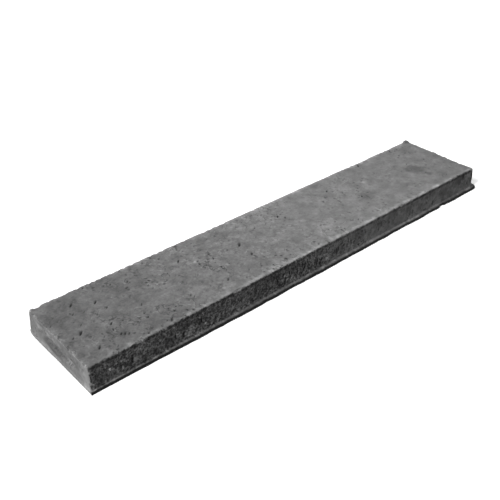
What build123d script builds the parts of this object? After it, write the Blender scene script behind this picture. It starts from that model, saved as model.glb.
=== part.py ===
"""Concrete kerb stone lying flat on its bed face.

X runs along the stone, Y across it and Z up. The origin is the middle of the bed face.
All four sides lean in towards the top, one end has a blind groove and the other a tongue to match.
"""

from build123d import *
import math
import os

# Stone, over the bed face
length = 1000.0
width = 200.0
thickness = 50.0

# How far the long sides and the ends lean in from the bed face to the top face
side_batter = 5.0
end_batter = 2.0

# Rounding of the edges as cast and worn
corner_radius = 5.0
arris_radius = 3.0
bed_edge_radius = 2.0

# Joint between two stones laid end to end
groove_length = 130.0
groove_width = 16.0
groove_depth = 7.0
joint_clearance = 1.5

# Sizes that follow from those above
top_length = length - 2 * end_batter
top_width = width - 2 * side_batter
mid_height = thickness / 2
end_face_x = (length - end_batter) / 2
tongue_length = groove_length - 2 * joint_clearance
tongue_width = groove_width - 2 * joint_clearance
tongue_reach = groove_depth - joint_clearance


def chord_radius(chord, rise):
    """Radius of the arc that rises by rise over a chord."""
    return ((chord / 2) ** 2 + rise**2) / (2 * rise)


def joint_key(root_x, key_length, key_width, reach):
    """Lens-shaped key standing reach out of the plane x = root_x, towards +X.

    It is the edge of a disc lying level: long and shallow in plan, rounded in section.
    A straight root behind the plane carries it through the leaning end face.
    """
    disc_radius = chord_radius(key_length, reach)
    half_angle = math.degrees(math.asin(key_length / 2 / disc_radius))
    middle = Plane(origin=(root_x + reach - disc_radius, 0, mid_height))
    turned = middle.rotated((0, 0, -half_angle))
    section = Plane(origin=turned.origin, x_dir=turned.x_dir, z_dir=-turned.y_dir)
    root_radius = disc_radius - reach
    with BuildPart() as key:
        with BuildSketch(section):
            with BuildLine():
                rim = ThreePointArc(
                    (root_radius, -key_width / 2),
                    (disc_radius, 0),
                    (root_radius, key_width / 2),
                )
                Polyline(
                    rim @ 1,
                    (root_radius - end_batter, key_width / 2),
                    (root_radius - end_batter, -key_width / 2),
                    rim @ 0,
                )
            make_face()
        revolve(axis=Axis(middle.origin, (0, 0, 1)), revolution_arc=2 * half_angle)
    return key.part


groove_key = joint_key(-end_face_x, groove_length, groove_width, groove_depth)
tongue_key = joint_key(end_face_x, tongue_length, tongue_width, tongue_reach)

with BuildPart() as kerb:
    # Body, drawn in from the bed face to the top face
    with BuildSketch():
        RectangleRounded(length, width, corner_radius)
    with BuildSketch(Plane.XY.offset(thickness)):
        RectangleRounded(top_length, top_width, corner_radius)
    loft(ruled=True)
    # Worn top arrises and the edge round the bed
    fillet(kerb.faces().sort_by(Axis.Z)[-1].edges(), arris_radius)
    fillet(kerb.faces().sort_by(Axis.Z)[0].edges(), bed_edge_radius)
    # Groove in the -X end and tongue on the +X end
    add(groove_key, mode=Mode.SUBTRACT)
    add(tongue_key)

kerb.part.label = "kerb_stone"

os.makedirs("parts", exist_ok=True)
export_step(kerb.part, "parts/kerb_stone.step")
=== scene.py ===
"""Concrete kerb stone: its cast, pitted and worn surface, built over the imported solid."""

import math
import random
from itertools import chain

import bpy
import numpy as np
from mathutils import Matrix, Vector, kdtree, noise


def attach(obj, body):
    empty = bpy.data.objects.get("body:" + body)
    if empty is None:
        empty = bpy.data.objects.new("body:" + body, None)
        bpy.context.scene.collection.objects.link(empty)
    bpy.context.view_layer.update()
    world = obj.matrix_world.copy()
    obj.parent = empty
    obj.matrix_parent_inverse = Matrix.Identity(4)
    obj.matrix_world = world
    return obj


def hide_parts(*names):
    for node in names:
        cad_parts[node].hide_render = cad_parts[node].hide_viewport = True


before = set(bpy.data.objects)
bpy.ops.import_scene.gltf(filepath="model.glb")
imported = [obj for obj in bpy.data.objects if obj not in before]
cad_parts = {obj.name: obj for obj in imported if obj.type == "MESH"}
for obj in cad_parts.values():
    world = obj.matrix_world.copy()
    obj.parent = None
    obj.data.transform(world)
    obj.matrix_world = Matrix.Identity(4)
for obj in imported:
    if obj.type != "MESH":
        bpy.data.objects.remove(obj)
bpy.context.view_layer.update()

MM = 0.001
SEED = 20

# Stone, in metres, as the solid has it
LENGTH = 1.000
WIDTH = 0.200
THICKNESS = 0.050
SIDE_BATTER = 0.005
END_BATTER = 0.002
CORNER_RADIUS = 0.005
ARRIS_RADIUS = 0.003
BED_RADIUS = 0.002
GROOVE_LENGTH = 0.130
GROOVE_WIDTH = 0.016
GROOVE_DEPTH = 0.007
CLEARANCE = 0.0015
TONGUE_LENGTH = GROOVE_LENGTH - 2 * CLEARANCE
TONGUE_WIDTH = GROOVE_WIDTH - 2 * CLEARANCE
TONGUE_REACH = GROOVE_DEPTH - CLEARANCE
END_X = (LENGTH - END_BATTER) / 2
SIDE_Y = (WIDTH - SIDE_BATTER) / 2
TOP_X = LENGTH / 2 - END_BATTER
TOP_Y = WIDTH / 2 - SIDE_BATTER
MID_Z = THICKNESS / 2
GROOVE_SIZES = (GROOVE_LENGTH, GROOVE_WIDTH, GROOVE_DEPTH)
TONGUE_SIZES = (TONGUE_LENGTH, TONGUE_WIDTH, TONGUE_REACH)

# Where no comment says otherwise, a pair below is the stretch over which something comes in by degrees,
# and three values are a change: its amount, where it starts and where it is full

# Thin lip of flash left by the mould along the foot of the front and, slight, of the grooved end
LIP_REACH = 0.0064
LIP_LEAST_SHARE = 0.42
LIP_FULL_X = (-0.48, -0.20)
LIP_END_X = (0.492, 0.500)
LIP_BACK = 2 * LIP_REACH
LIP_UNEVENNESS = 0.18
LIP_EDGE = 0.0056
LIP_TOP = 0.0069
END_LIP_REACH = 0.0004
END_LIP_FAR_GAIN = (2, 0.0, 0.05)

# Mesh spacing over the faces and in the strips along their edges
STEP = 0.0022
EDGE_STEP = 0.0009
EDGE_STRIP = 0.0036
BASE_STRIP = 0.0099
BED_RING = 6
BED_CELL = 4

# Camera, fitted to the stone's edges in the 500 x 500 photograph, in metres and degrees
IMAGE_SIZE = 500
FOCAL_PX = 738.011
SENSOR_MM = 36.0
CAMERA_AZIMUTH = -41.261
CAMERA_ELEVATION = 33.613
CAMERA_DISTANCE = 1.478001
CAMERA_TARGET = (-0.048552, 0.043211, -0.001)
CLIP_START = 0.05

# Noise over the stone: the size of its lumps, octaves and offset
NOISE_FALLOFF = 1.0
NOISE_LACUNARITY = 2.0
LIP_NOISE = (30 * MM, 3, 4.4)
BREAK_NOISE = (6 * MM, 3, 3.1)
NIBBLE_NOISE = (8 * MM, 2, 3.1)
STRETCH_NOISE = (45 * MM, 2, 7.7)
RELIEF_NOISES = ((60 * MM, 2, 1.3), (13 * MM, 3, 5.9), (5 * MM, 2, 9.4))
DRIFT_NOISE = (120 * MM, 2, 2.2)
RAGGED_NOISE = (11 * MM, 2, 6.6)
BLOTCH_NOISE = (28 * MM, 2, 8.3)
SCUFF_NOISE = (26 * MM, 2, 12.7)

# Deep pores in the photograph, in millimetres: x, y on the top or x, z on the front, radius, depth
TOP_PITS = (
    (-462, -16, 4.0, 3.2),
    (-412, -27, 3.2, 2.8),
    (-458, -66, 3.2, 2.8),
    (-402, 39, 3.4, 2.6),
    (-438, 58, 3.6, 2.2),
    (-414, -60, 2.4, 1.6),
    (-409, -64, 2.6, 1.8),
    (-404, -68, 2.4, 1.6),
    (-478, -20, 2.4, 1.4),
    (-102, 13, 4.2, 3.2),
    (-104, -25, 3.6, 2.4),
    (-331, -84, 3.4, 2.6),
    (-395, 13, 2.2, 1.6),
    (-448, 34, 2.0, 1.4),
    (-347, -19, 2.2, 1.4),
    (-328, 53, 2.4, 1.4),
    (-223, 44, 3.4, 1.4),
    (-190, -59, 3.0, 1.6),
    (-255, 88, 2.6, 2.0),
    (23, 41, 3.0, 1.6),
    (32, 28, 2.2, 1.6),
    (173, 48, 2.8, 1.4),
    (213, -16, 2.8, 1.2),
    (312, 83, 3.4, 1.6),
)
FRONT_PITS = (
    (-104, 24, 3.4, 2.6),
    (-33, 32, 3.0, 2.4),
    (-4, 18, 3.2, 2.2),
    (-319, 18, 3.8, 3.0),
    (-421, 20, 2.6, 2.4),
    (-428, 38, 2.6, 2.0),
    (-474, 40, 2.8, 2.2),
    (-485, 44, 2.6, 2.0),
    (-457, 44, 3.0, 2.2),
    (-461, 14, 2.4, 1.8),
    (-40, 34, 3.6, 2.4),
    (464, 41, 6.0, 2.6),
    (493, 26, 2.6, 1.6),
)
# Darker and paler patches, in millimetres: x, y on the top or x, z on the front, radius, change of tone
FRONT_PATCHES = (
    (-480, 28, 14, -0.22),
    (-110, 41, 13, -0.40),
    (-106, 28, 7, -0.30),
    (-38, 27, 5, 0.60),
    (-312, 13, 5, 0.70),
    (180, 33, 10, -0.28),
    (132, 16, 13, 0.20),
    (374, 13, 13, 0.28),
    (404, 13, 9, 0.28),
    # Painted shade: this patch and those at (465, 42) and (467, 36) darken the chipped hollow near the
    # tongued end's front arris
    (448, 40, 15, -0.35),
    (251, 36, 8, -0.22),
    (271, 30, 9, -0.22),
    (309, 25, 8, -0.22),
    (330, 38, 9, -0.26),
    (380, 29, 10, -0.26),
    (439, 19, 8, 0.18),
    (482, 30, 13, 0.32),
    # These two are painted shade in that chipped hollow
    (465, 42, 6, -0.50),
    (467, 36, 5, -0.40),
    (493, 37, 5, -0.50),
    (492, 25, 5, -0.45),
)
TOP_PATCHES = (
    (226, -20, 22, -0.20),
    (394, -12, 25, -0.33),
    (400, -34, 13, -0.20),
    (404, -46, 9, -0.24),
    (325, -90, 9, 0.20),
    (369, -90, 10, 0.20),
    (410, -90, 13, 0.16),
    (492, 90, 10, -0.50),
    (-152, 70, 15, -0.16),
    (252, -54, 18, -0.10),
    (-470, 46, 34, -0.12),
    (-492, 62, 10, -0.14),
    (-488, -26, 9, -0.16),
    (-489, -64, 12, -0.18),
    (-408, -62, 11, -0.22),
    (-98, -84, 11, 0.22),
    (88, -43, 15, 0.16),
)
PATCH_RAGGED_SHARE = 0.35
PATCH_CORE_SHARE = 0.55
# The front's pores are close up to this x, and closest between these two
TORN_END_X = 0.1
MOST_TORN_X = (-0.16, 0.06)
# Scattered pores: how many, the box they lie in, and the least and greatest radius in millimetres
PIT_FIELDS = (
    (120, (-TOP_X, -TOP_Y, THICKNESS), (0, TOP_Y, THICKNESS), (1.2, 2.6)),
    (60, (0, -TOP_Y, THICKNESS), (TOP_X, TOP_Y, THICKNESS), (1.2, 2.6)),
    (190, (-END_X, -SIDE_Y, BASE_STRIP), (TORN_END_X, -SIDE_Y, THICKNESS), (1.5, 3.4)),
    (60, (MOST_TORN_X[0], -SIDE_Y, BASE_STRIP), (MOST_TORN_X[1], -SIDE_Y, THICKNESS), (1.8, 3.6)),
    (60, (TORN_END_X, -SIDE_Y, BASE_STRIP), (END_X, -SIDE_Y, THICKNESS), (1.4, 3.0)),
    (200, (-END_X, SIDE_Y, BASE_STRIP), (END_X, SIDE_Y, THICKNESS), (1.5, 3.4)),
    (26, (-END_X, -SIDE_Y, BASE_STRIP), (-END_X, SIDE_Y, THICKNESS), (1.3, 2.6)),
    (26, (END_X, -SIDE_Y, BASE_STRIP), (END_X, SIDE_Y, THICKNESS), (1.3, 2.6)),
)
# Where a pore's floor, its painted shade and the whole of it end, as shares of its radius
PIT_FLOOR_SHARE = 0.35
PIT_SHADE_SHARE = 0.6
PIT_REACH = 1.25
# Least and greatest depth of a scattered pore as shares of its radius, and the darkness of the shade
# painted in it
PIT_DEPTH_SHARES = (0.5, 1.1)
PIT_SHADE_DARKNESS = (0.15, 0.9)
# Pores are drawn out: their length and breadth for a radius of one, and the way they run on each face
PIT_LENGTH = 1.7
PIT_BREADTH = 0.55
TOP_DRAW = (0.66, 0.75, 0)
SIDE_DRAW = (0, 0, 1)

# Pieces broken off: a point on the break in millimetres, the way it faces, how far along it goes
CHIPS = (
    ((-483, 91.5, 48.5), (0.1, 0.75, 0.66), 5),
    ((381, -103, 2), (0, -1, 0), 6),
    ((-497, 97, 3), (-0.6, 0.55, -0.58), 12),
)
# Lumps of flash left standing: place in millimetres, the way it stands out, how far, how wide
BURRS = (
    ((498, -98, 3), (0.9, -0.44, 0), 9.0, 8.0),
    ((497, -94, 40), (0.9, -0.44, 0), 2.4, 20),
    ((493, 91, 49), (0.1, 0.4, 0.9), 3.2, 8),
    ((492, 62, 49), (0.7, 0, 0.7), 1.2, 5.0),
    ((497, 10, 49), (0.6, 0, 0.8), 1.2, 5.0),
    ((497, -22, 49), (0.6, 0, 0.8), 1.3, 4.0),
)
BURR_STEEPNESS = 4
# Wear of the arrises and the roughness of the chips
WEAR_DEPTH = 1.2 * MM
NIBBLE_DEPTH = 0.6 * MM
BREAK_DEPTH = (1.2 * MM, 0.1, 0.7)
WORN_DEPTH = 0.8 * MM
CHIP_ROUGHNESS = 0.7 * MM
CHIP_FADE_SHARE = 1.5
CHIP_WORN = (0.6, 0, 1.5 * MM)
# Height of the unevenness, in millimetres, that each relief noise gives each face
TOP_RELIEF = (0.35, 0.12, 0.08)
SIDE_RELIEF = (0.35, 0.14, 0.16)
END_RELIEF = (0.25, 0.15, 0.15)
# How squarely a face looks one way before it belongs to that side, and the share that decides
FACING_SHARES = (0.5, 0.9)
MOSTLY_SHARE = 0.5

# Tone of the plain faces, as a share of the concrete's grey
TOP_TONE = 0.805
TOP_BRIGHTENS = (0.255, -0.40, 0.02)
TOP_DIMS = (0.15, 0.0, 0.5)
SIDE_TONE = 0.73
SIDE_BRIGHTENS = (0.29, -0.04, 0.10)
SIDE_DIMS = (0.14, 0.2, 0.5)
# Painted light: both ends are made paler than the top and sides, as if lit from the side
END_LIGHT_TONE = 1.27
# How far these changes wander along the stone, in metres, and how strong the blotches over them are
TONE_DRIFT = 0.05
TOP_BLOTCHES = 0.18
SIDE_BLOTCHES = 0.42
END_BLOTCHES = 0.22

# Grooved end: painted shade in and below the groove, which hangs lower towards the front, and painted
# light on its foot, near corner and upper rim
GROOVE_SHADE_Y = 12 * MM
GROOVE_SHADE_SINK = 4 * MM
GROOVE_SHADE_TILT = 0.10
GROOVE_SHADE_TILT_Y = 0.068
GROOVE_SHADE_TILT_MOST = 6 * MM
GROOVE_SHADE_DARKNESS = 0.47
GROOVE_SHADE_FADES = (0.34, -0.02, 0.02)
GROOVE_SHADE_SPREAD_SHARES = (0.3, 0.9)
# Painted shade: a faint dim across the middle of the end, spreading the groove's painted shade
END_MIDDLE_NEAR_Y = (-0.075, -0.055)
END_MIDDLE_FAR_Y = (0.00, 0.04)
END_MIDDLE_SHADE = 0.09
# The painted light along the foot ends over this stretch, whose two ends drop by this much in the middle
END_FOOT_Z = (0.006, 0.016)
END_FOOT_MIDDLE_DROP = (0.003, 0.006)
END_FOOT_LIGHT = 0.26
# Painted highlight down the near corner, stronger at the foot
END_CORNER_Y = (0.070, 0.085)
END_CORNER_LIGHT = 0.16
END_CORNER_FOOT_LIGHT = 0.20
# Painted light on the groove's upper rim and the wall under it, with ragged brighter bits
RIM_Y = 0.03
RIM_FADE_Y = (0.03, 0.05)
RIM_RISE_Z = (0.024, 0.030)
RIM_FALL_Z = (0.039, 0.043)
RIM_LIGHT = 0.16
RIM_RAGGED_LIGHT = (0.32, -0.2, 0.3)

# Foot of the front: the lip's black edge of painted shadow, painted shade dimming its ledge to a pale
# line, and painted shade in the nook behind
FOOT_SHADOW_BLACK = 0.95
FOOT_SHADOW_Z = (0.95 * LIP_EDGE, 1.1 * LIP_EDGE)
FOOT_SHADOW_OUT = (3.4 * MM, 5.0 * MM)
# Painted shade that dims the up-facing ledge, less in ragged bits
LEDGE_SHADE = 0.18
LEDGE_MIDDLE_SHADE = (0.12, -0.35, -0.10)
LEDGE_RIGHT_SHADE = (0.26, 0.30, 0.46)
LEDGE_RAGGED_GAIN = (0.60, 0.1, 0.5)
# Painted shade in the nook above the lip
NOOK_SHADE = 0.35
NOOK_SHADE_Z = (1.05 * LIP_TOP, 1.35 * LIP_TOP)

# Top arrises: dark under them, pale scuffs on them and dark dashes along the tongued end
SHADE_Z = (0.042, 0.045)
SHADE_DIM = 0.40
SHADE_RAGGED_DIM = (0.34, -0.1, 0.3)
SHADE_RIGHT_DIM = (0.14, 0.1, 0.4)
SCUFF_Z = (THICKNESS - 2.4 * MM, THICKNESS - 1.2 * MM)
SCUFF_INSIDE = (0.002, 0.011)
SCUFF_RAGGED = 6 * MM
SCUFF_GAIN = 0.25
SCUFF_RIGHT_GAIN = (0.45, -0.44, -0.30)
SCUFF_DRIFTS = 2
SCUFF_LEAST_SHARE = 0.45
SCUFF_PATCHES = (0.75, -0.2, 0.35)
DASH_DIM = 0.5
DASH_X = (TOP_X - 5 * MM, TOP_X - 2 * MM)
DASH_RAGGED_SHARES = (-0.2, 0.2)

# How torn the texture is: the sides most, the top little, and both less towards the tongued end
SMOOTHER_RIGHT = (0.85, 0.0, 0.13)
SIDE_TORN_LEAST = 0.08
TOP_TORN = 0.20

# Concrete: the scale and detail of its clouds, and how far they swing its tone
CONCRETE_GREY = 0.19
CLOUD_ROUGHNESS = 0.6
PATCH_CLOUD = (9, 3)
BLOTCH_CLOUD = (50, 3)
MOTTLE_CLOUD = (110, 2)
GRAIN_CLOUD = (270, 1)
CLUSTER_CLOUD = (14, 2)
CREASE_CLOUD = (75, 1)
CREASED_CLOUD = (45, 2)
PATCH_GAIN = 0.45
BLOTCH_GAIN = 0.90
SWING_MIDDLE = 0.5
SWING_LEAST = 0.2
# Specks and pores: the scale of their cells and how rare they are, their radii, and how far they stray
SPECKS = (97, 0.70)
PORES = (100, 0.52)
SPOT_RADII = (0.14, 0.38)
STRAY_SCALE = 210
STRAY_DETAIL = 1
STRAY = (0.009, 0.009, 0.009)
# Crease lines: the levels of a cloud that they follow, and their width in that level
DARK_CREASE = 0.48
PALE_CREASE = 0.57
CREASE_WIDTH = 0.045
# Mapped ranges: from low to high in the source, to the two values that these give
CLUSTER_RANGE = (0.40, 0.62, 0.15, 1)
CREASED_RANGE = (0.48, 0.58, 0, 1)
ROUGHNESS_RANGE = (0.3, 0.7, 0.82, 0.95)
# The same from smooth to torn texture: gains of clouds and tones of marks
MOTTLE_GAINS = (0, 1, 0.40, 3.0)
GRAIN_GAINS = (0.15, 1, 0.25, 4.6)
DARK_CREASE_TONES = (0, 0.2, 0.78, 0.40)
PALE_CREASE_TONES = (0, 0.2, 1.12, 1.42)
SPECK_TONES = (0, 1, 1.2, 2.8)
# Pores are darkened with painted shade, most where the texture is torn
PORE_SHADE_TONES = (0, 0.3, 0.52, 0.06)
# Painted shade darkening the hollows of the pits
PIT_SHADE_TONE = 0.14
WORN_TONE = 1.25
CONCRETE_SPECULAR = 0.3
BUMP_STRENGTH = 0.6
BUMP_DISTANCE = 0.6 * MM

# Stage: a pale floor, lights given by name, kind, place, aim, strength and settings, and a dim sky
WHITE = (1, 1, 1, 1)
FLOOR_SIZE = 90.0
FLOOR_COLOUR = (0.9, 0.9, 0.9, 1)
FLOOR_GLOW = 0.40
FLOOR_ROUGHNESS = 0.9
FLOOR_SPECULAR = 0.1
LIGHTS = (
    ("key", "SUN", (-2.0, -0.22, 1.9), (0, 0, 0), 2.92, {"angle": math.radians(14)}),
    ("fill", "SUN", (2.0, 1.6, 0.45), (0, 0, 0), 0.85, {"angle": math.radians(25)}),
    ("overhead", "AREA", (0.22, 0.30, 1.1), (0.15, 0, 0), 1.9, {"shape": "DISK", "size": 0.7}),
)
SKY_STRENGTH = 0.235
SKY_RANGE = (-0.05, 0.05, 0, SKY_STRENGTH)


def graded(low, high, step, edge_step, strip):
    """Coordinates from low to high, closer together in a strip at both ends."""
    edge_count = round(strip / edge_step)
    middle_count = round((high - low - 2 * strip) / step)
    first = np.linspace(low, low + strip, edge_count + 1)
    middle = np.linspace(low + strip, high - strip, middle_count + 1)
    last = np.linspace(high - strip, high, edge_count + 1)
    return np.concatenate([first, middle[1:-1], last])


def height_levels():
    """Levels up the sides, close together over the flash at the base and at the top arris."""
    base = np.linspace(0, BASE_STRIP, round(BASE_STRIP / EDGE_STEP) + 1)
    middle_top = THICKNESS - EDGE_STRIP
    middle = np.linspace(BASE_STRIP, middle_top, round((middle_top - BASE_STRIP) / STEP) + 1)
    arris = np.linspace(middle_top, THICKNESS, round(EDGE_STRIP / EDGE_STEP) + 1)
    return np.concatenate([base, middle[1:], arris[1:]])


def bed_faces(side):
    """Faces of the bed: a ring of fine quads, and wide cells inside that share the ring's points."""
    rows, columns = side.shape
    row_end = BED_RING + (rows - 1 - 2 * BED_RING) // BED_CELL * BED_CELL
    column_end = BED_RING + (columns - 1 - 2 * BED_RING) // BED_CELL * BED_CELL
    faces = []
    for i in range(rows - 1):
        for j in range(columns - 1):
            if not (BED_RING <= i < row_end and BED_RING <= j < column_end):
                faces.append(side[[i, i, i + 1, i + 1], [j, j + 1, j + 1, j]].tolist())
    for i in range(BED_RING, row_end, BED_CELL):
        for j in range(BED_RING, column_end, BED_CELL):
            cell = side[i : i + BED_CELL + 1, j : j + BED_CELL + 1]
            runs = (
                (cell[0, :-1], i == BED_RING),
                (cell[:-1, -1], j + BED_CELL == column_end),
                (cell[-1, :0:-1], i + BED_CELL == row_end),
                (cell[:0:-1, 0], j == BED_RING),
            )
            faces.append(list(chain.from_iterable(r if on_ring else r[:1] for r, on_ring in runs)))
    return faces


def shell(xs, ys, zs):
    """Points and faces of a closed shell on the six sides of a lattice."""
    on_shell = np.zeros((len(xs), len(ys), len(zs)), bool)
    on_shell[[0, -1]] = True
    on_shell[:, [0, -1]] = True
    on_shell[:, :, [0, -1]] = True
    index = np.full(on_shell.shape, -1)
    index[on_shell] = np.arange(on_shell.sum())
    points = np.stack(np.meshgrid(xs, ys, zs, indexing="ij"), -1)[on_shell]
    faces = bed_faces(index[:, :, 0])
    sides = (
        (index[-1], 1),
        (index[0], -1),
        (index[:, 0], 1),
        (index[:, -1], -1),
        (index[:, :, -1], 1),
    )
    for side, turn in sides:
        quads = np.stack([side[:-1, :-1], side[1:, :-1], side[1:, 1:], side[:-1, 1:]], -1)
        faces += quads.reshape(-1, 4)[:, ::turn].tolist()
    used = np.zeros(len(points), bool)
    used[list(chain.from_iterable(faces))] = True
    number = np.cumsum(used) - 1
    return points[used], [[int(number[v]) for v in face] for face in faces]


def rounded(a, b, radius):
    """Distances inside two faces, with the edge between the faces rounded."""
    da, db = radius - a, radius - b
    near = (da > 0) & (db > 0)
    shrink = np.ones_like(a)
    shrink[near] = np.maximum(da, db)[near] / np.hypot(da, db)[near]
    return np.where(near, radius - da * shrink, a), np.where(near, radius - db * shrink, b)


def chord_radius(chord, rise):
    """Radius of the arc that rises by rise over a chord."""
    return ((chord / 2) ** 2 + rise**2) / (2 * rise)


def key_reach(y, z, length, width, reach):
    """How far a lens-shaped joint key stands out of its root plane at each point."""
    disc, section = chord_radius(length, reach), chord_radius(width, reach)
    level = np.clip(np.abs(z - MID_Z), 0, section)
    rim = disc - section + np.sqrt(section**2 - level**2)
    return np.maximum(np.sqrt(np.maximum(rim**2 - y**2, 0)) - (disc - reach), 0)


def key_half_height(y, length, width, reach):
    """Half the height of a joint key's outline on its root plane, zero beyond its ends."""
    disc, section = chord_radius(length, reach), chord_radius(width, reach)
    along = np.hypot(disc - reach, y) - disc + section
    return np.where(np.abs(y) < length / 2, np.sqrt(np.maximum(section**2 - along**2, 0)), 0)


def snap_to_key(z, y, on_end, sizes):
    """Move the points of an end face that lie next to a key's outline on to that outline."""
    half = key_half_height(y, *sizes)
    for turn in (-1, 1):
        outline = MID_Z + turn * half
        near = on_end & (half > STEP) & (np.abs(z - outline) < STEP / 2)
        z = np.where(near, outline, z)
    return z


def cast_form(points):
    """The stone's plain form: rounded edges, leaning sides, groove and tongue."""
    x, y, z = points.T
    left, right = x <= -LENGTH / 2, x >= LENGTH / 2
    z = snap_to_key(z, y, left, GROOVE_SIZES)
    z = snap_to_key(z, y, right, TONGUE_SIZES)
    end, side, top, bed = LENGTH / 2 - np.abs(x), WIDTH / 2 - np.abs(y), THICKNESS - z, z
    end, side = rounded(end, side, CORNER_RADIUS)
    end, top = rounded(end, top, ARRIS_RADIUS)
    side, top = rounded(side, top, ARRIS_RADIUS)
    end, bed = rounded(end, bed, BED_RADIUS)
    side, bed = rounded(side, bed, BED_RADIUS)
    height = np.where(z > MID_Z, THICKNESS - top, bed)
    rise = height / THICKNESS
    form = np.stack(
        [
            np.sign(x) * (LENGTH / 2 - end) * (1 - rise * END_BATTER / (LENGTH / 2)),
            np.sign(y) * (WIDTH / 2 - side) * (1 - rise * SIDE_BATTER / (WIDTH / 2)),
            height,
        ],
        -1,
    )
    groove = key_reach(form[:, 1], height, *GROOVE_SIZES)
    tongue = key_reach(form[:, 1], height, *TONGUE_SIZES)
    hollow = left & (groove > 0)
    raised = right & (tongue > 0)
    form[hollow, 0] = np.maximum(form[hollow, 0], groove[hollow] - END_X)
    form[raised, 0] = np.maximum(form[raised, 0], tongue[raised] + END_X)
    return form


def field(points, kind, shift=0):
    """Fractal noise about zero at each point, of a kind given by lump size, octaves and offset."""
    size, octaves, offset = kind
    spots = (points / size + (offset + shift)).tolist()
    return np.array([noise.fractal(p, NOISE_FALLOFF, NOISE_LACUNARITY, octaves) for p in spots])


def smooth(low, high, value):
    """0 below low, 1 above high, eased between."""
    share = np.clip((value - low) / (high - low), 0, 1)
    return share * share * (3 - 2 * share)


def eased(change, value):
    """A change that comes in by degrees: its amount, and the values where it starts and is full."""
    amount, start, full = change
    return amount * smooth(start, full, value)


def add_flash(points):
    """A thin, uneven lip of flash along the foot of the front and of the grooved end."""
    x, y, z = points.T
    side, end = WIDTH / 2 + y, LENGTH / 2 + x
    uneven = 1 + LIP_UNEVENNESS * field(points * (1, 1, 0), LIP_NOISE)
    low = 1 - smooth(LIP_EDGE, LIP_TOP, z)
    front = low * (1 - smooth(BED_RADIUS, LIP_BACK, side)) * (1 - smooth(*LIP_END_X, x))
    left = low * (1 - smooth(BED_RADIUS, LIP_BACK, end))
    fuller = LIP_LEAST_SHARE + (1 - LIP_LEAST_SHARE) * smooth(*LIP_FULL_X, x)
    farther = 1 + eased(END_LIP_FAR_GAIN, y)
    points[:, 1] -= front * (LIP_REACH * fuller * uneven + np.clip(side, 0, BED_RADIUS))
    points[:, 0] -= left * (END_LIP_REACH * farther * uneven + np.clip(end, 0, BED_RADIUS))


def add_burrs(points):
    """Lumps of flash left standing at the corners and edges of the tongued end."""
    for place, way, reach, width in BURRS:
        away = np.linalg.norm(points - np.array(place) * MM, axis=1)
        height = reach * MM * np.exp(-((away / (width * MM)) ** BURR_STEEPNESS))
        points += np.array(way) * height[:, None]


def crumble(points):
    """Nibble the top arrises and break the chips off; returns how much each point was worn."""
    worn = np.zeros(len(points))
    fine = field(points, BREAK_NOISE)
    arrises = [((turn * TOP_X, 0, THICKNESS), (turn, 0, 1)) for turn in (-1, 1)]
    arrises += [((0, turn * TOP_Y, THICKNESS), (0, turn, 1)) for turn in (-1, 1)]
    for number, (anchor, direction) in enumerate(arrises):
        normal = np.array(direction) / np.linalg.norm(direction)
        line = points * (direction[0] == 0, direction[1] == 0, 0)
        nibbles = field(line, NIBBLE_NOISE, number)
        stretches = field(line, STRETCH_NOISE, number)
        depth = WEAR_DEPTH + NIBBLE_DEPTH * nibbles + eased(BREAK_DEPTH, nibbles + stretches)
        over = np.maximum(points @ normal - (np.array(anchor) @ normal - depth), 0)
        points -= over[:, None] * normal
        worn = np.maximum(worn, smooth(0, WORN_DEPTH, over))
    for place, way, reach in CHIPS:
        normal = np.array(way) / np.linalg.norm(way)
        offset = points - np.array(place) * MM
        along = np.linalg.norm(offset - (offset @ normal)[:, None] * normal, axis=1)
        over = np.maximum(offset @ normal - CHIP_ROUGHNESS * fine, 0)
        over *= 1 - smooth(reach * MM, CHIP_FADE_SHARE * reach * MM, along)
        points -= over[:, None] * normal
        worn = np.maximum(worn, eased(CHIP_WORN, over))
    return worn


def pit_spots():
    """Centre, radius, depth, darkness of painted shade and long way of each pore: those seen, then a
    seeded scatter.
    """
    pits = []
    for x, y, radius, depth in TOP_PITS:
        pits.append(((x * MM, y * MM, THICKNESS), radius * MM, depth * MM, 1, TOP_DRAW))
    for x, z, radius, depth in FRONT_PITS:
        pits.append(((x * MM, -SIDE_Y, z * MM), radius * MM, depth * MM, 1, SIDE_DRAW))
    rng = random.Random(SEED)
    for count, low, high, sizes in PIT_FIELDS:
        draw = TOP_DRAW if low[2] == THICKNESS else SIDE_DRAW
        for _ in range(count):
            centre = [rng.uniform(a, b) for a, b in zip(low, high)]
            radius = rng.triangular(sizes[0], sizes[1], sizes[0]) * MM
            depth = radius * rng.uniform(*PIT_DEPTH_SHARES)
            pits.append((centre, radius, depth, rng.uniform(*PIT_SHADE_DARKNESS), draw))
    return pits


def sink_pits(points):
    """Depth of the pores and a mask of the shade painted in their hollows at each point."""
    tree = kdtree.KDTree(len(points))
    for i, point in enumerate(points.tolist()):
        tree.insert(point, i)
    tree.balance()
    drop, mask = np.zeros(len(points)), np.zeros(len(points))
    for centre, radius, depth, dark, draw in pit_spots():
        for place, i, distance in tree.find_range(centre, radius * PIT_REACH * PIT_LENGTH):
            along = (place - Vector(centre)).dot(Vector(draw))
            across = math.sqrt(max(distance**2 - along**2, 0))
            share = math.hypot(along / PIT_LENGTH, across / PIT_BREADTH) / radius
            drop[i] = max(drop[i], depth * (1 - float(smooth(PIT_FLOOR_SHARE, PIT_REACH, share))))
            mask[i] = max(mask[i], dark * (1 - float(smooth(PIT_SHADE_SHARE, PIT_REACH, share))))
    return drop, mask


def face_masks(normals):
    """How far each point belongs to the top, the ends and the long sides; the bed has no mask."""
    top = smooth(*FACING_SHARES, normals[:, 2])
    bed = smooth(*FACING_SHARES, -normals[:, 2])
    ends = smooth(*FACING_SHARES, np.abs(normals[:, 0]))
    return top, ends, 1 - np.maximum.reduce([top, bed, ends])


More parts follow.
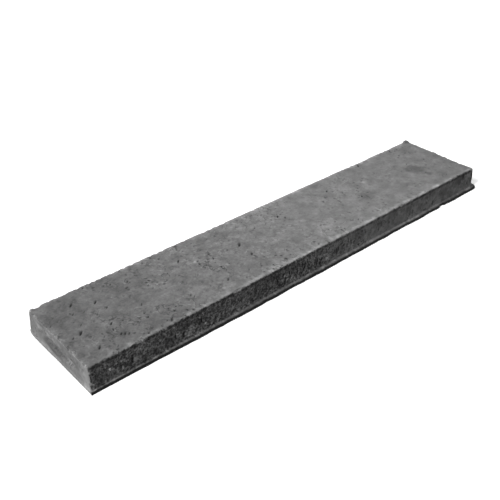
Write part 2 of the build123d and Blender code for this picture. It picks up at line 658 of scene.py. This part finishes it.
def relief(points, masks):
    """Unevenness of the cast faces: the top is smooth, the sides are torn and the bed is flat."""
    top, ends, sides = masks
    layers = [field(points, kind) for kind in RELIEF_NOISES]
    height = np.zeros(len(points))
    for mask, amounts in ((top, TOP_RELIEF), (sides, SIDE_RELIEF), (ends, END_RELIEF)):
        height += mask * sum(amount * layer for amount, layer in zip(amounts, layers))
    return height * MM


def patch_tone(u, v, patches, ragged):
    """Tone of the ragged-edged patches of one face at its own coordinates u and v."""
    tone = np.ones(len(u))
    for centre_u, centre_v, radius, change in patches:
        away = np.hypot(u / MM - centre_u, v / MM - centre_v) + PATCH_RAGGED_SHARE * radius * ragged
        tone *= 1 + change * (1 - smooth(PATCH_CORE_SHARE * radius, radius, away))
    return tone


def plain_tone(x, ends, sides, drift):
    """Tone of the plain faces: darkest towards the grooved end, palest past the middle, with painted
    light making the ends paler.
    """
    top_tone = TOP_TONE + eased(TOP_BRIGHTENS, x + drift) - eased(TOP_DIMS, x)
    side_tone = SIDE_TONE + eased(SIDE_BRIGHTENS, x + drift) - eased(SIDE_DIMS, x)
    tone = np.where(sides > MOSTLY_SHARE, side_tone, top_tone)
    return tone * (1 - ends) + END_LIGHT_TONE * ends


def end_tone(points, ragged):
    """Tone of the grooved end beside its plain one: painted shade in and below the groove, painted light
    on its foot, near corner and upper rim.
    """
    x, y, z = points.T
    # Painted shade: the groove's shadow, dark in and below the groove, sinking and fading towards the
    # front
    sunk = GROOVE_SHADE_SINK + np.clip(GROOVE_SHADE_TILT * (GROOVE_SHADE_TILT_Y - y), 0, GROOVE_SHADE_TILT_MOST)
    groove = key_reach(y - GROOVE_SHADE_Y, z + sunk, *GROOVE_SIZES) / GROOVE_DEPTH
    groove_shade = (GROOVE_SHADE_DARKNESS - eased(GROOVE_SHADE_FADES, -y)) * smooth(*GROOVE_SHADE_SPREAD_SHARES, groove)
    middle = smooth(*END_MIDDLE_NEAR_Y, y) * (1 - smooth(*END_MIDDLE_FAR_Y, y))
    # Painted light: a lit strip along the foot of the end
    stretch = zip(END_FOOT_Z, END_FOOT_MIDDLE_DROP)
    foot_start, foot_end = (level - drop * middle for level, drop in stretch)
    foot = 1 - smooth(foot_start, foot_end, z)
    # Painted highlight down the near corner, stronger at the foot
    corner = (END_CORNER_LIGHT + END_CORNER_FOOT_LIGHT * foot) * smooth(*END_CORNER_Y, -y)
    # Painted light on the groove's upper rim and wall, lifting the shade there
    rim = smooth(*RIM_RISE_Z, z) * (1 - smooth(*RIM_FALL_Z, z))
    rim *= 1 - smooth(*RIM_FADE_Y, np.abs(y - RIM_Y))
    tone = (1 - groove_shade) * (1 - END_MIDDLE_SHADE * middle) * (1 + END_FOOT_LIGHT * foot + corner)
    tone *= 1 + rim * (RIM_LIGHT + eased(RIM_RAGGED_LIGHT, ragged))
    on_end = (x < GROOVE_DEPTH - END_X) & (z < THICKNESS - ARRIS_RADIUS)
    return np.where(on_end, tone, 1)


def foot_tone(points, sides, ragged):
    """Tone along the front's foot: the lip's black edge of painted shadow, painted shade dimming its
    ledge to a pale line, painted shade in the nook behind.
    """
    x, y, z = points.T
    out = -y - WIDTH / 2
    # Painted shadow: the lip's lower edge and outer rim are near black, the contact shadow at the foot
    edge = np.maximum(1 - smooth(*FOOT_SHADOW_Z, z), smooth(*FOOT_SHADOW_OUT, out))
    # Painted shade dims the up-facing ledge to a pale line; ragged bits are lighter
    ledge = LEDGE_SHADE + eased(LEDGE_MIDDLE_SHADE, x) + eased(LEDGE_RIGHT_SHADE, x)
    ledge -= eased(LEDGE_RAGGED_GAIN, ragged)
    lip = 1 - (FOOT_SHADOW_BLACK * edge + (1 - edge) * ledge)
    # Painted shade in the nook where the front meets the lip
    nook_shade = 1 - NOOK_SHADE * (y < 0) * sides * (1 - smooth(*NOOK_SHADE_Z, z))
    return np.where(out > 0, lip, nook_shade)


def arris_tone(points, sides, drift, ragged):
    """Tone along the top arrises: dark below them, pale scuffs on them, dashes at the tongued end."""
    x, y, z = points.T
    shade = SHADE_DIM + eased(SHADE_RAGGED_DIM, ragged) + eased(SHADE_RIGHT_DIM, x)
    tone = 1 - sides * smooth(*SHADE_Z, z) * shade
    upper = smooth(*SCUFF_Z, z)
    inside = np.minimum(TOP_X + x, TOP_Y - np.abs(y)) + SCUFF_RAGGED * ragged
    scuffed = SCUFF_GAIN + eased(SCUFF_RIGHT_GAIN, x + SCUFF_DRIFTS * drift)
    scuffed *= SCUFF_LEAST_SHARE + eased(SCUFF_PATCHES, field(points, SCUFF_NOISE))
    tone *= 1 + upper * scuffed * (1 - smooth(*SCUFF_INSIDE, inside))
    return tone * (1 - DASH_DIM * upper * smooth(*DASH_X, x) * smooth(*DASH_RAGGED_SHARES, ragged))


def tone_masks(points, masks):
    """Tone of the concrete at each point, painted light and shade included, and how torn its texture is.
    """
    x, y, z = points.T
    top, ends, sides = masks
    drift = TONE_DRIFT * field(points, DRIFT_NOISE)
    ragged = field(points, RAGGED_NOISE)
    tone = plain_tone(x, ends, sides, drift)
    tone *= end_tone(points, ragged)
    tone *= foot_tone(points, sides, ragged)
    tone *= arris_tone(points, sides, drift, ragged)
    blotches = SIDE_BLOTCHES * sides + TOP_BLOTCHES * top + END_BLOTCHES * ends
    tone *= 1 + blotches * field(points, BLOTCH_NOISE)
    on_top = top > MOSTLY_SHARE
    on_front = (sides > MOSTLY_SHARE) & (y < 0)
    tone = np.where(on_top, tone * patch_tone(x, y, TOP_PATCHES, ragged), tone)
    tone = np.where(on_front, tone * patch_tone(x, z, FRONT_PATCHES, ragged), tone)
    coarse = 1 - eased(SMOOTHER_RIGHT, x + drift)
    torn = sides * (SIDE_TORN_LEAST + (1 - SIDE_TORN_LEAST) * coarse) + top * TOP_TORN * coarse
    return tone, torn


def vertex_normals(mesh):
    """Normal of each vertex of a mesh."""
    flat = np.empty(len(mesh.vertices) * 3)
    mesh.vertex_normals.foreach_get("vector", flat)
    return flat.reshape(-1, 3)


def build_stone():
    """The stone's visible mesh, with its pores, the shade painted in them, wear, tone and torn texture as
    values on its points.
    """
    xs = graded(-LENGTH / 2, LENGTH / 2, STEP, EDGE_STEP, EDGE_STRIP)
    ys = graded(-WIDTH / 2, WIDTH / 2, STEP, EDGE_STEP, EDGE_STRIP)
    points, faces = shell(xs, ys, height_levels())
    form = cast_form(points)
    add_flash(form)
    worn = crumble(form)
    add_burrs(form)
    mesh = bpy.data.meshes.new("kerb_stone_cast")
    mesh.from_pydata(form.tolist(), [], faces)
    normals = vertex_normals(mesh)
    masks = face_masks(normals)
    drop, pit_shade = sink_pits(form)
    tone, torn = tone_masks(form, masks)
    form += normals * (relief(form, masks) - drop)[:, None]
    form[:, 2] = np.maximum(form[:, 2], 0)
    mesh.vertices.foreach_set("co", form.ravel())
    for name, values in (("pit_shade", pit_shade), ("worn", worn), ("tone", tone), ("torn", torn)):
        mesh.attributes.new(name, "FLOAT", "POINT").data.foreach_set("value", values)
    mesh.shade_smooth()
    mesh.update()
    stone = bpy.data.objects.new("kerb_stone_cast", mesh)
    bpy.context.scene.collection.objects.link(stone)
    return stone


def add_node(tree, kind, inputs=(), **settings):
    """New shader node with its settings, and its inputs set or linked."""
    made = tree.nodes.new(kind)
    for name, value in settings.items():
        setattr(made, name, value)
    for socket, value in inputs:
        if isinstance(value, bpy.types.NodeSocket):
            tree.links.new(value, made.inputs[socket])
        else:
            made.inputs[socket].default_value = value
    return made


def concrete_material():
    """Dark-grey cast concrete: mottled paste, sandy grain, pale specks, open pores and worn arrises, with
    painted shade in the pores and pits.
    """
    material = bpy.data.materials.new("cast_concrete")
    material.use_nodes = True
    tree = material.node_tree
    shader = tree.nodes["Principled BSDF"]
    place = add_node(tree, "ShaderNodeTexCoord").outputs["Object"]

    def math_node(operation, a, b):
        return add_node(tree, "ShaderNodeMath", ((0, a), (1, b)), operation=operation).outputs[0]

    def ranged(value, low, high, to_low, to_high):
        inputs = ((0, value), (1, low), (2, high), (3, to_low), (4, to_high))
        return add_node(tree, "ShaderNodeMapRange", inputs).outputs[0]

    def cloud(scale, detail):
        inputs = (("Vector", place), ("Scale", scale), ("Detail", detail), ("Roughness", CLOUD_ROUGHNESS))
        return add_node(tree, "ShaderNodeTexNoise", inputs).outputs[0]

    inputs = (("Vector", place), ("Scale", STRAY_SCALE), ("Detail", STRAY_DETAIL))
    stray = add_node(tree, "ShaderNodeTexNoise", inputs)
    inputs = ((0, stray.outputs["Color"]), (1, STRAY), (2, place))
    astray = add_node(tree, "ShaderNodeVectorMath", inputs, operation="MULTIPLY_ADD").outputs[0]

    def spots(scale, rarity):
        inputs = (("Vector", astray), ("Scale", scale))
        cells = add_node(tree, "ShaderNodeTexVoronoi", inputs)
        chance = add_node(tree, "ShaderNodeSeparateColor", ((0, cells.outputs["Color"]),)).outputs[0]
        chosen = math_node("GREATER_THAN", chance, rarity)
        return math_node("MULTIPLY", ranged(cells.outputs["Distance"], *SPOT_RADII, 1, 0), chosen)

    def attribute(name):
        return add_node(tree, "ShaderNodeAttribute", attribute_name=name).outputs["Fac"]

    def swing(value, gain):
        spread = math_node("MULTIPLY", math_node("SUBTRACT", value, SWING_MIDDLE), gain)
        return math_node("MAXIMUM", math_node("ADD", spread, 1.0), SWING_LEAST)

    def marked(mask, tone):
        return ranged(mask, 0, 1, 1, tone)

    torn = attribute("torn")
    blotches = cloud(*BLOTCH_CLOUD)
    grain = cloud(*GRAIN_CLOUD)
    clusters = ranged(cloud(*CLUSTER_CLOUD), *CLUSTER_RANGE)
    specks = math_node("MULTIPLY", spots(*SPECKS), clusters)
    pores = math_node("MULTIPLY", spots(*PORES), clusters)
    crease = cloud(*CREASE_CLOUD)
    creased = math_node("MULTIPLY", ranged(cloud(*CREASED_CLOUD), *CREASED_RANGE), clusters)

    def crease_line(level):
        away = math_node("ABSOLUTE", math_node("SUBTRACT", crease, level), 0)
        return math_node("MULTIPLY", ranged(away, 0, CREASE_WIDTH, 1, 0), creased)

    factors = (
        swing(cloud(*PATCH_CLOUD), PATCH_GAIN),
        swing(blotches, BLOTCH_GAIN),
        swing(cloud(*MOTTLE_CLOUD), ranged(torn, *MOTTLE_GAINS)),
        swing(grain, ranged(torn, *GRAIN_GAINS)),
        marked(crease_line(DARK_CREASE), ranged(torn, *DARK_CREASE_TONES)),
        marked(crease_line(PALE_CREASE), ranged(torn, *PALE_CREASE_TONES)),
        marked(specks, ranged(torn, *SPECK_TONES)),
        # This line and the next paint shade into the pores and the pits
        marked(pores, ranged(torn, *PORE_SHADE_TONES)),
        marked(attribute("pit_shade"), PIT_SHADE_TONE),
        marked(attribute("worn"), WORN_TONE),
    )
    tone = math_node("MULTIPLY", attribute("tone"), CONCRETE_GREY)
    for factor in factors:
        tone = math_node("MULTIPLY", tone, factor)
    tree.links.new(tone, shader.inputs["Base Color"])
    tree.links.new(ranged(blotches, *ROUGHNESS_RANGE), shader.inputs["Roughness"])
    shader.inputs["Specular IOR Level"].default_value = CONCRETE_SPECULAR
    height = math_node("SUBTRACT", grain, pores)
    inputs = (("Height", height), ("Strength", BUMP_STRENGTH), ("Distance", BUMP_DISTANCE))
    bump = add_node(tree, "ShaderNodeBump", inputs)
    tree.links.new(bump.outputs[0], shader.inputs["Normal"])
    return material


def build_floor():
    """Plain pale floor under the stone, which throws no light back at the stone's sides."""
    half = FLOOR_SIZE / 2
    corners = [(-half, -half, 0), (half, -half, 0), (half, half, 0), (-half, half, 0)]
    mesh = bpy.data.meshes.new("floor")
    mesh.from_pydata(corners, [], [(0, 1, 2, 3)])
    floor = bpy.data.objects.new("floor", mesh)
    bpy.context.scene.collection.objects.link(floor)
    material = bpy.data.materials.new("pale_floor")
    material.use_nodes = True
    shader = material.node_tree.nodes["Principled BSDF"]
    shader.inputs["Base Color"].default_value = FLOOR_COLOUR
    shader.inputs["Emission Color"].default_value = WHITE
    shader.inputs["Emission Strength"].default_value = FLOOR_GLOW
    shader.inputs["Roughness"].default_value = FLOOR_ROUGHNESS
    shader.inputs["Specular IOR Level"].default_value = FLOOR_SPECULAR
    mesh.materials.append(material)
    floor.visible_diffuse = False


def add_light(name, kind, place, aim, energy, settings):
    """Light at a place, turned towards its aim."""
    data = bpy.data.lights.new(name, kind)
    data.energy = energy
    for key, value in settings.items():
        setattr(data, key, value)
    light = bpy.data.objects.new(name, data)
    light.location = place
    light.rotation_mode = "QUATERNION"
    light.rotation_quaternion = (Vector(aim) - Vector(place)).to_track_quat("-Z", "Y")
    bpy.context.scene.collection.objects.link(light)


def light_scene():
    """Soft light from the left, a faint fill from behind, a soft box overhead and a dim sky.

    The camera sees the surround as white.
    """
    for light in LIGHTS:
        add_light(*light)
    world = bpy.data.worlds.new("surround")
    world.use_nodes = True
    tree = world.node_tree
    way = add_node(tree, "ShaderNodeTexCoord").outputs["Generated"]
    height = add_node(tree, "ShaderNodeSeparateXYZ", ((0, way),)).outputs["Z"]
    sky = add_node(tree, "ShaderNodeMapRange", enumerate((height, *SKY_RANGE))).outputs[0]
    seen = add_node(tree, "ShaderNodeLightPath").outputs["Is Camera Ray"]
    strength = add_node(tree, "ShaderNodeMath", ((0, sky), (1, seen)), operation="MAXIMUM")
    background = tree.nodes["Background"]
    background.inputs["Color"].default_value = WHITE
    tree.links.new(strength.outputs[0], background.inputs["Strength"])
    bpy.context.scene.world = world
    bpy.context.scene.view_settings.view_transform = "Standard"


def place_camera():
    """Camera at the photograph's viewing angle."""
    azimuth, elevation = math.radians(CAMERA_AZIMUTH), math.radians(CAMERA_ELEVATION)
    level = math.cos(elevation)
    back = Vector((math.sin(azimuth) * level, -math.cos(azimuth) * level, math.sin(elevation)))
    right = Vector((0, 0, 1)).cross(back).normalized()
    data = bpy.data.cameras.new("camera")
    data.sensor_width = SENSOR_MM
    data.lens = FOCAL_PX / IMAGE_SIZE * SENSOR_MM
    data.clip_start = CLIP_START
    camera = bpy.data.objects.new("camera", data)
    turn = Matrix((right, back.cross(right), back)).transposed().to_4x4()
    camera.matrix_world = Matrix.Translation(Vector(CAMERA_TARGET) + back * CAMERA_DISTANCE) @ turn
    bpy.context.scene.collection.objects.link(camera)
    bpy.context.scene.camera = camera


stone = build_stone()
stone.data.materials.append(concrete_material())
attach(stone, "root")
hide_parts("kerb_stone")
build_floor()
light_scene()
place_camera()
